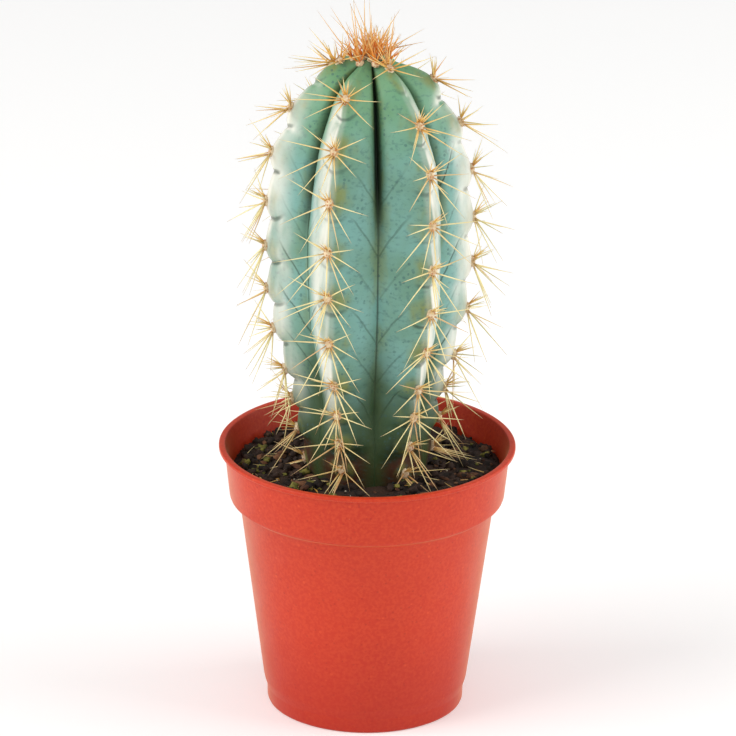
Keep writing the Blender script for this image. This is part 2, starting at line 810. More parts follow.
@dataclass(frozen=True)
class Finishes:
    """Every finish that the pieces wear."""

    pot: bpy.types.Material
    skin: bpy.types.Material
    spines: bpy.types.Material
    crown: bpy.types.Material
    felt: bpy.types.Material
    mix: bpy.types.Material
    bark: bpy.types.Material
    moss: bpy.types.Material
    grain: bpy.types.Material

    @classmethod
    def build(cls) -> "Finishes":
        """Builds them all."""
        effects = SharedEffects()
        soil = EarthFinish("potting_mix", srgb(22, 13, 8), srgb(56, 34, 20), srgb(104, 76, 48), 190.0)
        bark = EarthFinish("bark_chips", srgb(78, 46, 28), srgb(128, 86, 54), srgb(160, 128, 92), 260.0)
        moss = EarthFinish("moss", srgb(92, 92, 34), srgb(150, 142, 62), srgb(186, 176, 104), 420.0)
        grain = EarthFinish(
            "pale_grains", srgb(188, 176, 156), srgb(214, 206, 190), srgb(150, 132, 108), 500.0
        )
        return cls(
            pot=PotPlastic().build(effects),
            skin=StemSkin().build(effects),
            spines=SpineFinish("spines").build(),
            crown=SpineFinish(
                "crown_spines",
                shaft=srgb(232, 196, 124),
                amber=srgb(250, 150, 20),
                root=srgb(214, 84, 8),
                rust=srgb(214, 92, 20),
            ).build(),
            felt=FeltFinish().build(effects),
            mix=soil.build(effects),
            bark=bark.build(effects),
            moss=moss.build(effects),
            grain=grain.build(effects),
        )


# ---------------------------------------------------------------------------------------------
# Pot
# ---------------------------------------------------------------------------------------------


@dataclass
class NurseryPot:
    """The moulded pot: rolled lip, deep collar with its stacking shoulder, body and foot."""

    material: bpy.types.Material
    lip_radius: float
    height: float
    lip_width: float = 1.9 * MM
    lip_height: float = 1.3 * MM
    collar_top: float = 40.8 * MM
    collar_foot: float = 39.4 * MM
    collar_depth: float = 15.3 * MM
    shoulder_depth: float = 17.2 * MM
    body_top: float = 36.5 * MM
    body_foot: float = 29.2 * MM
    body_foot_height: float = 7.2 * MM
    foot: float = 28.3 * MM
    foot_height: float = 4.5 * MM
    wall: float = 1.0 * MM
    floor: float = 1.5 * MM
    ring_inner: float = 25.8 * MM
    ring_outer: float = 27.5 * MM
    hole_radius: float = 3.0 * MM
    hole_circle: float = 17.0 * MM
    holes: int = 6
    steps: int = 192

    def outline(self) -> Outline:
        """The wall's outline, from under the floor over the lip to the floor's top."""
        top = self.height
        underlip = top - self.lip_height
        lip_inner = self.lip_radius - self.lip_width
        collar_bottom = top - self.collar_depth
        shoulder = top - self.shoulder_depth
        bead = 0.45 * MM
        outside = [
            (self.ring_inner - 1.0 * MM, self.floor),
            (self.ring_inner - 0.25 * MM, self.floor - 0.25 * MM),
            (self.ring_inner, 0.1 * MM),
            (self.ring_inner + 0.15 * MM, 0.0),
            (self.ring_outer, 0.0),
            (self.foot - 0.35 * MM, 0.25 * MM),
            (self.foot - 0.1 * MM, 0.9 * MM),
            (self.foot, self.foot_height - 0.4 * MM),
            (self.foot + 0.15 * MM, self.foot_height + 0.3 * MM),
            (self.body_foot - 0.15 * MM, self.body_foot_height - 0.5 * MM),
            (self.body_foot + 0.1 * MM, self.body_foot_height + 0.6 * MM),
            (self.body_top - 0.1 * MM, shoulder - 0.5 * MM),
            (self.body_top + 0.35 * MM, shoulder + 0.1 * MM),
            (self.collar_foot - 0.9 * MM, collar_bottom - 0.75 * MM),
            (self.collar_foot - 0.25 * MM, collar_bottom - 0.35 * MM),
            (self.collar_foot, collar_bottom + 0.3 * MM),
            (self.collar_top, underlip - 0.9 * MM),
            (self.collar_top + 0.15 * MM, underlip - 0.3 * MM),
            (self.collar_top + 0.45 * MM, underlip - 0.05 * MM),
        ]
        lip = [(self.lip_radius - bead, underlip)]
        for index in range(1, 6):
            angle = math.radians(-90 + 90 * index / 5)
            out, up = bead * math.cos(angle), bead * math.sin(angle)
            lip.append((self.lip_radius - bead + out, underlip + bead + up))
        for index in range(6):
            angle = math.radians(90 * index / 5)
            lip.append((self.lip_radius - bead + bead * math.cos(angle), top - bead + bead * math.sin(angle)))
        for index in range(6):
            angle = math.radians(90 + 90 * index / 5)
            lip.append((lip_inner + bead + bead * math.cos(angle), top - bead + bead * math.sin(angle)))
        inside = [
            (self.collar_top - self.wall, underlip - 1.0 * MM),
            (self.collar_foot - self.wall, collar_bottom + 0.4 * MM),
            (self.collar_foot - self.wall - 0.4 * MM, collar_bottom - 0.2 * MM),
            (self.body_top - self.wall, shoulder - 0.1 * MM),
            (self.body_foot - self.wall, self.body_foot_height + 0.4 * MM),
            (self.foot - self.wall, self.floor + self.wall + 0.8 * MM),
            (self.foot - self.wall - 0.8 * MM, self.floor + self.wall),
        ]
        return outside + lip + inside

    def build(self) -> None:
        """Turns the wall, fits the pierced floor and dresses both in the pot's plastic."""
        shape = turned([(0.0, self.floor), *self.outline(), (0.0, self.floor + self.wall)], self.steps)
        for corner in shape.verts:
            wave = noise.noise(corner.co * 26)
            corner.co.xy *= 1 + 0.0016 * wave * ramp(corner.co.z, 10 * MM, 60 * MM)
        piece = place_piece("nursery_pot", shape, self.material, ["pot"])
        piece.data.set_sharp_from_angle(angle=math.radians(50))
        self._pierce(piece)

    def _pierce(self, piece: bpy.types.Object) -> None:
        """Cuts the drain holes through the floor, and keeps the result as the piece's own mesh."""
        drill = bmesh.new()
        places = [Vector((0, 0, self.floor))]
        for index in range(self.holes):
            angle = math.tau * index / self.holes
            places.append(Vector((math.cos(angle), math.sin(angle), 0)) * self.hole_circle + places[0])
        for place in places:
            bmesh.ops.create_cone(
                drill,
                cap_ends=True,
                segments=32,
                radius1=self.hole_radius,
                radius2=self.hole_radius,
                depth=6 * self.wall,
                matrix=Matrix.Translation(place),
            )
        mesh = bpy.data.meshes.new("drill")
        drill.to_mesh(mesh)
        drill.free()
        cutter = bpy.data.objects.new("drill", mesh)
        bpy.context.collection.objects.link(cutter)
        cut = piece.modifiers.new("drain_holes", "BOOLEAN")
        cut.operation = "DIFFERENCE"
        cut.solver = "EXACT"
        cut.object = cutter
        graph = bpy.context.evaluated_depsgraph_get()
        pierced = bpy.data.meshes.new_from_object(piece.evaluated_get(graph))
        piece.modifiers.remove(cut)
        piece.data = pierced
        bpy.data.objects.remove(cutter)


# ---------------------------------------------------------------------------------------------
# Stem
# ---------------------------------------------------------------------------------------------


@dataclass
class CrestLine:
    """The line that every rib's crest follows, and the areoles' places along it.

    Radii are shares of the widest crest and heights are shares of the stem above the soil.
    """

    widest: float
    soil: float
    apex: float
    ribs: int = 6
    first_rib: float = math.radians(-23.0)
    outline: Sequence[tuple[float, float]] = (
        (0.545, -0.070),
        (0.589, 0.0),
        (0.637, 0.057),
        (0.705, 0.130),
        (0.760, 0.211),
        (0.877, 0.308),
        (0.973, 0.413),
        (1.0, 0.535),
        (0.990, 0.681),
        (0.935, 0.786),
        (0.801, 0.867),
        (0.616, 0.937),
        (0.394, 0.978),
        (0.188, 0.995),
        (0.0, 1.0),
    )
    odd_areoles: Sequence[float] = (0.041, 0.113, 0.186, 0.267, 0.381, 0.494, 0.604, 0.721, 0.835, 0.940)
    even_areoles: Sequence[float] = (
        0.024, 0.097, 0.174, 0.247, 0.348, 0.446, 0.551, 0.660, 0.778, 0.883, 0.988,
    )
    line: list[Vector] = field(default_factory=list)

    def __post_init__(self) -> None:
        """Works out the smooth line, as (radius, height)."""
        points = [Vector((radius * self.widest, self.height_at(share))) for radius, share in self.outline]
        self.line = smooth_line(points, 16)

    def height_at(self, share: float) -> float:
        """A share of the stem's height as metres above the floor."""
        return self.soil + share * (self.apex - self.soil)

    def share_at(self, height: float) -> float:
        """Metres above the floor as a share of the stem's height."""
        return (height - self.soil) / (self.apex - self.soil)

    def areoles(self, rib: int) -> Sequence[float]:
        """The heights of one rib's areoles, as shares of the stem's height."""
        return self.odd_areoles if rib % 2 == 0 else self.even_areoles

    def areole_place(self, rib: int, height: float) -> float:
        """Where a height falls among one rib's areoles: whole numbers are at an areole."""
        share = self.share_at(height)
        heights = self.areoles(rib)
        first, last = heights[0], heights[-1]
        if share <= first:
            return (share - first) / (heights[1] - first)
        if share >= last:
            return len(heights) - 1 + (share - last) / (last - heights[-2])
        return between(list(zip(heights, range(len(heights)))), share)

    def frame(self, height: float) -> tuple[Vector, Vector]:
        """The crest's point and outward normal at a height, both as (radius, height)."""
        for start, end in zip(self.line, self.line[1:]):
            if start.y <= height < end.y:
                point = start.lerp(end, (height - start.y) / (end.y - start.y))
                along = (end - start).normalized()
                return point, Vector((along.y, -along.x))
        return self.line[-1].copy(), Vector((0.0, 1.0))

    def azimuth(self, rib: float) -> float:
        """A rib's angle from the front, towards +X."""
        return self.first_rib + math.tau * rib / self.ribs


@dataclass
class CactusStem:
    """The ribbed stem, its skin raised into chins under the areoles and pressed in along its seams."""

    crest: CrestLine
    material: bpy.types.Material
    skin: StemSkin = field(default_factory=StemSkin)
    steps_per_rib: int = 38
    rows: int = 215
    groove_depth: float = 0.26
    groove_deepening: float = 0.07
    crest_roundness: float = 0.12
    groove_power: float = 1.7
    crevice: float = 3.4 * MM
    crevice_low: float = 0.45 * MM
    crevice_width: float = 0.05
    chin: float = 0.42 * MM
    notch: float = 1.0 * MM
    crease: float = 0.55 * MM
    seam: float = 0.3 * MM
    seed: int = 11
    bump_line: Sequence[tuple[float, float]] = (
        (0.0, 1.0),
        (0.14, 0.72),
        (0.52, -0.8),
        (0.62, -1.0),
        (0.72, -0.1),
        (0.86, 0.85),
        (1.0, 1.0),
    )

    def groove_share(self, side: float) -> float:
        """How far down a rib's side a point is: 0 on the crest, 1 in the groove."""
        share = (2 * abs(side)) ** self.groove_power
        deepest = math.sqrt(1 + self.crest_roundness**2) - self.crest_roundness
        return (math.sqrt(share + self.crest_roundness**2) - self.crest_roundness) / deepest

    def seam_strength(self, groove: int, height: float, side: float) -> float:
        """How strong the seam is at a point.

        Args:
            groove: Which groove it runs down to.
            height: Its height in metres.
            side: How far it is from the crest, in ribs.

        Returns:
            0 to 1.
        """
        reach = (0.5 - abs(side)) / self.skin.seam_reach
        number = math.floor(self.skin.seam_foot(height, side) / self.skin.seam_spacing)
        chance = random.Random(self.seed * 1000 + groove * 100 + number)
        strength = 0.2 + 0.8 * chance.random() ** 1.5
        low_fade = ramp(self.crest.share_at(height), 0.1, 0.25)
        high_fade = ramp(self.crest.share_at(height), 0.9, 0.72)
        return strength * ramp(reach, 1.0, 0.62) * low_fade * high_fade

    def crease_strength(self, rib: int, height: float, side: float) -> float:
        """How strong the crease beside the crest is at a point, 0 to 1."""
        number = math.floor(self.crest.areole_place(rib, height))
        chance = random.Random(self.seed * 3000 + rib * 100 + number * 2 + (side > 0))
        width = 0.13 + 0.12 * chance.random()
        strength = 0.3 + 0.7 * chance.random()
        return strength * ramp(abs(side), width, width * 0.5) * ramp(self.crest.share_at(height), 0.06, 0.16)

    def relief(self, rib: int, side: float, height: float, radius: float) -> tuple[float, float, float]:
        """How far the skin stands off the crest line's surface at a point.

        Args:
            rib: The rib that the point is on.
            side: How far it is from the crest, in ribs, with its side's sign.
            height: Its height in metres.
            radius: The crest's radius at that height.

        Returns:
            The offset in metres, the seam's strength and the crease's strength.
        """
        share = self.groove_share(side)
        up = self.crest.share_at(height)
        depth = self.groove_depth + self.groove_deepening * ramp(up, 0.6, 0.9)
        offset = -radius * depth * share * ramp(up, 0.01, 0.19)
        near_groove = math.exp(-(((0.5 - abs(side)) / self.crevice_width) ** 2))
        closing = self.crevice_low + (self.crevice - self.crevice_low) * ramp(up, 0.62, 0.8)
        offset -= closing * near_groove * ramp(up, 0.02, 0.15) * ramp(radius, 1 * MM, 12 * MM)
        place = self.crest.areole_place(rib, height) % 1.0
        bump = between(self.bump_line, place)
        middle, swing = (self.chin - self.notch) / 2, (self.chin + self.notch) / 2
        fading = (1 - share) ** 1.4 * ramp(radius, 3 * MM, 10 * MM) * ramp(up, 0.0, 0.05)
        offset += (middle + swing * bump) * fading
        groove = rib if side > 0 else (rib - 1) % self.crest.ribs
        seam = self.seam_strength(groove, height, side)
        crease = self.crease_strength(rib, height, side)
        smile = place - self.skin.crease_curve * side * side - self.skin.crease_level
        offset -= self.crease * crease * math.exp(-((smile / 0.055) ** 2))
        spacing = self.skin.seam_spacing
        off_seam = abs(self.skin.seam_foot(height, side) / spacing % 1.0 - 0.5) * spacing
        offset -= self.seam * seam * math.exp(-((off_seam / (0.75 * MM)) ** 2))
        return offset, seam, crease

    def build(self) -> None:
        """Turns the crest line, presses the ribs into it and dresses it."""
        ribs = self.crest.ribs
        line = evenly_spaced(self.crest.line, self.rows)
        shape = turned([(0.0, line[0].y), *[(point.x, point.y) for point in line]], ribs * self.steps_per_rib)
        marks = shape.verts.layers.float_color.new("marks")
        frames = {round(point.y, 7): self.crest.frame(point.y) for point in line}
        turns = {}
        for corner in shape.verts:
            radius, height = corner.co.xy.length, corner.co.z
            turn = (math.atan2(corner.co.x, -corner.co.y) - self.crest.first_rib) / math.tau * ribs % ribs
            turns[corner] = turn
            rib = round(turn) % ribs
            side = turn - round(turn)
            offset, seam, crease = self.relief(rib, side, height, radius)
            uneven = 0.35 * MM * noise.noise(corner.co * 75) + 0.12 * MM * noise.noise(corner.co * 260)
            point, normal = frames.get(round(height, 7)) or self.crest.frame(height)
            moved = point + normal * (offset + uneven * ramp(radius, 2 * MM, 10 * MM))
            if radius > 0.01 * MM:
                corner.co.xy *= moved.x / radius
                corner.co.z = moved.y
            corner[marks] = (seam, crease, min(max(self.crest.share_at(height), 0.0), 1.0), 1.0)
        self._lay_uvs(shape, turns)
        place_piece("cactus_stem_skin", shape, self.material, ["cactus_stem"])

    def _lay_uvs(self, shape: bmesh.types.BMesh, turns: dict[bmesh.types.BMVert, float]) -> None:
        """Lays the UVs: ribs across, half way at a crest, and that rib's areoles along."""
        ribs = self.crest.ribs
        layer = shape.loops.layers.uv.new("ribs")
        for face in shape.faces:
            known = [turns[corner] for corner in face.verts if corner.co.xy.length > 0.05 * MM]
            low = min(known)
            wrapped = max(known) - low > ribs / 2
            values = [turn + ribs if wrapped and turn < ribs / 2 else turn for turn in known]
            middle = sum(values) / len(values)
            rib = round(middle)
            for loop in face.loops:
                corner = loop.vert
                turn = turns[corner] if corner.co.xy.length > 0.05 * MM else middle
                if wrapped and turn < ribs / 2:
                    turn += ribs
                across = min(max(turn - rib, -0.4999), 0.4999) + rib + 0.5
                loop[layer].uv = (across, self.crest.areole_place(rib % ribs, corner.co.z))


# ---------------------------------------------------------------------------------------------
# Spines and wool
# ---------------------------------------------------------------------------------------------


@dataclass
class Seat:
    """A place on the plant that spines grow from: a point and its across, up and out directions."""

    root: Vector
    across: Vector
    up: Vector
    out: Vector

    def direction(self, angle: float, rise: float) -> Vector:
        """A direction in the seat's own terms.

        Args:
            angle: Degrees round the seat, 0 across to the right and 90 up.
            rise: Degrees out from the skin.

        Returns:
            The direction, of length 1.
        """
        turn, lift = math.radians(angle), math.radians(rise)
        flat = self.across * math.cos(turn) + self.up * math.sin(turn)
        return flat * math.cos(lift) + self.out * math.sin(lift)


@dataclass
class SpineBundle:
    """Many spines gathered into one mesh."""

    sides: int = 5
    rings: int = 5
    shape: bmesh.types.BMesh = field(default_factory=bmesh.new)
    template: bpy.types.Mesh | None = None

    def __post_init__(self) -> None:
        """Draws out one straight spine, 1 long and 1 in radius, for the others to copy."""
        one = bmesh.new()
        bmesh.ops.create_circle(one, cap_ends=True, segments=self.sides, radius=1.0)
        top = one.faces[:][0]
        for index in range(1, self.rings):
            top = bmesh.ops.extrude_discrete_faces(one, faces=[top])["faces"][0]
            share = index / (self.rings - 1)
            for corner in top.verts:
                corner.co.z = share
                corner.co.xy = corner.co.xy.normalized() * (1 - 0.86 * share**1.5)
        bmesh.ops.holes_fill(one, edges=[edge for edge in one.edges if edge.is_boundary])
        bmesh.ops.recalc_face_normals(one, faces=one.faces)
        self.template = template_mesh("spine_template", one)
        self.layer = self.shape.verts.layers.float_color.new("marks")

    def add(
        self,
        root: Vector,
        way: Vector,
        length: float,
        radius: float,
        bend: Vector,
        shade: float,
        amber: float,
    ) -> None:
        """Adds one spine.

        Args:
            root: Where it grows from.
            way: Its direction, of length 1.
            length: Its length.
            radius: Its radius at the root.
            bend: How far its tip is pushed aside.
            shade: Its own shade, 0 to 1.
            amber: How amber it is, 0 to 1.
        """
        side = way.orthogonal().normalized()
        other = way.cross(side)
        for corner in add_copy(self.shape, self.template):
            x, y, along = corner.co
            middle = root + way * (along * length) + bend * along**2
            corner.co = middle + (side * x + other * y) * radius
            corner[self.layer] = (along, shade, amber, 1.0)

    def finish(self, name: str, material: bpy.types.Material, slot: Slot, replaced: Iterable[str]) -> None:
        """Makes the gathered spines a piece."""
        place_piece(name, self.shape, material, replaced)


@dataclass
class Felt:
    """The woolly cushions that the spines come out of, gathered into one mesh."""

    material: bpy.types.Material
    seed: int = 5
    shape: bmesh.types.BMesh = field(default_factory=bmesh.new)

    def __post_init__(self) -> None:
        """Makes the cushion and the hair that the others copy."""
        self.chance = random.Random(self.seed)
        ball = bmesh.new()
        bmesh.ops.create_icosphere(ball, subdivisions=3, radius=1.0)
        self.cushion = template_mesh("cushion_template", ball)
        hair = bmesh.new()
        bmesh.ops.create_cone(hair, cap_ends=True, segments=3, radius1=1.0, radius2=0.1, depth=1.0)
        bmesh.ops.translate(hair, vec=(0, 0, 0.5), verts=hair.verts)
        self.hair = template_mesh("hair_template", hair)

    def add(self, seat: Seat, width: float, length: float, thickness: float, hairs: int) -> None:
        """Adds one cushion with its loose hairs.

        Args:
            seat: Where it sits.
            width: Its width across.
            length: Its length up the rib.
            thickness: How far it stands out.
            hairs: How many hairs stray from it.
        """
        for corner in add_copy(self.shape, self.cushion):
            x, y, z = corner.co
            lump = 1 + 0.24 * noise.noise(Vector((x, y, z)) * 2.6 + seat.root * 900)
            flat = seat.across * (x * width / 2 * lump) + seat.up * (y * length / 2 * lump)
            corner.co = seat.root + flat + seat.out * (max(z, -0.6) * thickness * lump)
        for _ in range(hairs):
            angle, share = self.chance.uniform(0, 360), math.sqrt(self.chance.random())
            way = seat.direction(angle, self.chance.uniform(15, 75))
            spread = seat.across * (math.cos(math.radians(angle)) * width / 2 * share)
            spread += seat.up * (math.sin(math.radians(angle)) * length / 2 * share)
            root = seat.root + spread + seat.out * (thickness * 0.5 * (1 - share * share))
            self._add_hair(root, way, self.chance.uniform(0.7, 1.5) * MM)

    def _add_hair(self, root: Vector, way: Vector, length: float) -> None:
        """Adds one stray hair."""
        side = way.orthogonal().normalized()
        other = way.cross(side)
        for corner in add_copy(self.shape, self.hair):
            x, y, along = corner.co
            corner.co = root + way * (along * length) + (side * x + other * y) * (0.05 * MM)

    def finish(self) -> None:
        """Makes the cushions a piece."""
        place_piece("areole_felt", self.shape, self.material)


@dataclass
class SpineCoat:
    """The spines along the ribs: at each areole a fan of long ones, a tuft of short ones above
    and a few that stand straight out."""

    crest: CrestLine
    stem: CactusStem
    material: bpy.types.Material
    felt: Felt
    soil: float
    seed: int = 23
    radius: float = 0.225 * MM
    nodes_per_rib: int = 9
    fan: Sequence[tuple[float, float]] = (
        (-90, 15.5),
        (-60, 16.5),
        (-120, 17.0),
        (-32, 15.5),
        (-148, 18.0),
        (-4, 14.5),
        (184, 15.0),
        (28, 11.5),
        (152, 12.0),
    )
    tuft: Sequence[tuple[float, float]] = ((50, 5.0), (68, 4.2), (84, 4.6), (97, 4.0), (113, 4.4), (131, 5.2))
    centre: Sequence[tuple[float, float]] = ((-80, 9.0), (-105, 11.0), (70, 6.5))

    def seat(self, rib: int, share: float) -> Seat:
        """The seat of an areole on a rib's crest."""
        height = self.crest.height_at(share)
        point, normal = self.crest.frame(height)
        offset, _, _ = self.stem.relief(rib, 0.0, height, point.x)
        point = point + normal * offset
        azimuth = self.crest.azimuth(rib)
        radial = Vector((math.sin(azimuth), -math.cos(azimuth), 0))
        out = radial * normal.x + Vector((0, 0, normal.y))
        across = Vector((math.cos(azimuth), math.sin(azimuth), 0))
        return Seat(radial * point.x + Vector((0, 0, point.y)), across, out.cross(across), out)

    def build(self) -> None:
        """Grows every rib's spines and felt."""
        for rib in range(self.crest.ribs):
            chance = random.Random(self.seed + rib)
            bundle = SpineBundle()
            for share in self.crest.areoles(rib):
                self._grow(bundle, self.seat(rib, share), share, chance)
            numbers = range(1, self.nodes_per_rib + 1)
            nodes = [f"spines_rib_{rib + 1}_areole_{number:02d}" for number in numbers]
            bundle.finish(f"rib_{rib + 1}_spines", self.material, Slot.SPINES, nodes)

    def _grow(self, bundle: SpineBundle, seat: Seat, share: float, chance: random.Random) -> None:
        """Grows one areole's felt and spines.

        Args:
            bundle: The rib's spines.
            seat: The areole's seat.
            share: Its height as a share of the stem.
            chance: The rib's own dice.
        """
        young = ramp(share, 0.7, 0.98)
        low = ramp(share, 0.16, 0.06)
        self.felt.add(seat, 2.5 * MM, 3.3 * MM, 0.9 * MM, 16)
        for angle, length in self.fan:
            if chance.random() < 0.1 + 0.3 * low:
                continue
            turned_by = angle + chance.uniform(-11, 11)
            rise = chance.uniform(10, 36) + 10 * low
            length = length * MM * chance.uniform(0.78, 1.12) * (1 - 0.18 * young)
            self._add(bundle, seat, turned_by, rise, length, 1.0, max(0.8 * young, 0.45 * low), chance)
        for angle, length in self.tuft:
            amber = 0.55 + 0.45 * chance.random()
            length = length * MM * chance.uniform(0.8, 1.3)
            turned_by = angle + chance.uniform(-9, 9)
            rise = chance.uniform(30, 62)
            self._add(bundle, seat, turned_by, rise, length, 0.8, amber, chance)
        for angle, length in self.centre:
            if chance.random() < 0.25:
                continue
            rise = chance.uniform(55, 78)
            length = length * MM * chance.uniform(0.8, 1.15)
            self._add(bundle, seat, angle + chance.uniform(-25, 25), rise, length, 1.05, young, chance)

    def _add(
        self,
        bundle: SpineBundle,
        seat: Seat,
        angle: float,
        rise: float,
        length: float,
        girth: float,
        amber: float,
        chance: random.Random,
    ) -> None:
        """Adds one spine, lifted clear of the soil if it would run into it."""
        low = ramp(self.crest.share_at(seat.root.z), 0.2, 0.08)
        way = seat.direction(angle, rise)
        while (seat.root + way * length).z < self.soil + 0.8 * MM and rise < 80:
            rise += 6
            length *= 0.97
            way = seat.direction(angle, rise)
        spread = seat.across * (math.cos(math.radians(angle)) * 0.8 * MM)
        spread += seat.up * (math.sin(math.radians(angle)) * 1.1 * MM)
        bend = way.orthogonal().normalized()
        bend.rotate(Matrix.Rotation(chance.uniform(0, math.tau), 3, way))
        bend *= length * chance.uniform(0.0, 0.06)
        radius = self.radius * girth * chance.uniform(0.85, 1.12)
        root = seat.root + spread + seat.out * (0.35 * MM)
        shade = chance.random() ** (1 - 0.7 * low)
        bundle.add(root, way, length, radius, bend, shade, amber)


@dataclass
class Crown:
    """The growing tip: a dense amber tuft of young spines standing in wool."""

    crest: CrestLine
    material: bpy.types.Material
    felt: Felt
    top: float
    seed: int = 41
    radius: float = 0.23 * MM
    rings: Sequence[tuple[int, float, int]] = ((1, 0.3, 16), (5, 2.4, 14), (7, 5.2, 8))
    spine_low: float = 4.5 * MM
    spine_high: float = 10.0 * MM
    long_share: float = 0.16
    long_spine: float = 18.5 * MM

    def build(self) -> None:
        """Grows the young areoles ring by ring, from the middle out."""
        chance = random.Random(self.seed)
        bundle = SpineBundle()
        for number, (count, distance, spines) in enumerate(self.rings):
            for index in range(count):
                azimuth = math.tau * (index + 0.37 * number) / count + self.crest.first_rib
                self._grow_areole(bundle, azimuth, distance * MM, spines, chance)
        bundle.finish("crown_tuft", self.material, Slot.CROWN, ["crown_spines"])

    def _grow_areole(
        self, bundle: SpineBundle, azimuth: float, distance: float, spines: int, chance: random.Random
    ) -> None:
        """Grows one young areole's wool and spines.

        Args:
            bundle: The crown's spines.
            azimuth: Its angle round the tip.
            distance: How far it is from the axis.
            spines: How many spines it has.
            chance: The crown's own dice.
        """
        radial = Vector((math.sin(azimuth), -math.cos(azimuth), 0))
        lean = distance / (11 * MM)
        out = (radial * lean + Vector((0, 0, 1))).normalized()
        across = Vector((math.cos(azimuth), math.sin(azimuth), 0))
        root = radial * distance + Vector((0, 0, self.crest.apex - 2.6 * MM * lean**2))
        seat = Seat(root, across, out.cross(across), out)
        self.felt.add(seat, 2.4 * MM, 2.2 * MM, 0.9 * MM, 12)
        for _ in range(spines):
            angle = chance.uniform(-180, 180)
            rise = chance.uniform(38, 84)
            way = seat.direction(angle, rise)
            length = chance.uniform(self.spine_low, self.spine_high) * (0.7 + 0.3 * way.z)
            amber = 1.0
            if chance.random() < self.long_share:
                length = self.long_spine * chance.uniform(0.8, 1.0)
                amber = 0.25
            length = min(length, (self.top - root.z) / max(way.z, 0.05))
            bend = Vector((chance.uniform(-1, 1), chance.uniform(-1, 1), 0)) * (length * 0.05)
            start = root + way * (0.4 * MM)
            radius = self.radius * chance.uniform(0.75, 1.1)
            bundle.add(start, way, length, radius, bend, chance.random() * 0.8, amber)


# ---------------------------------------------------------------------------------------------
# Potting mix
# ---------------------------------------------------------------------------------------------


@dataclass(frozen=True)
class Crumbs:
    """One kind of loose crumb: its finish, how many, their lengths in millimetres and their look."""

    name: str
    finish: str
    count: int
    shortest: float
    longest: float
    stretch: tuple[float, float, float]
    crumble: float
    slot: Slot = Slot.BITS


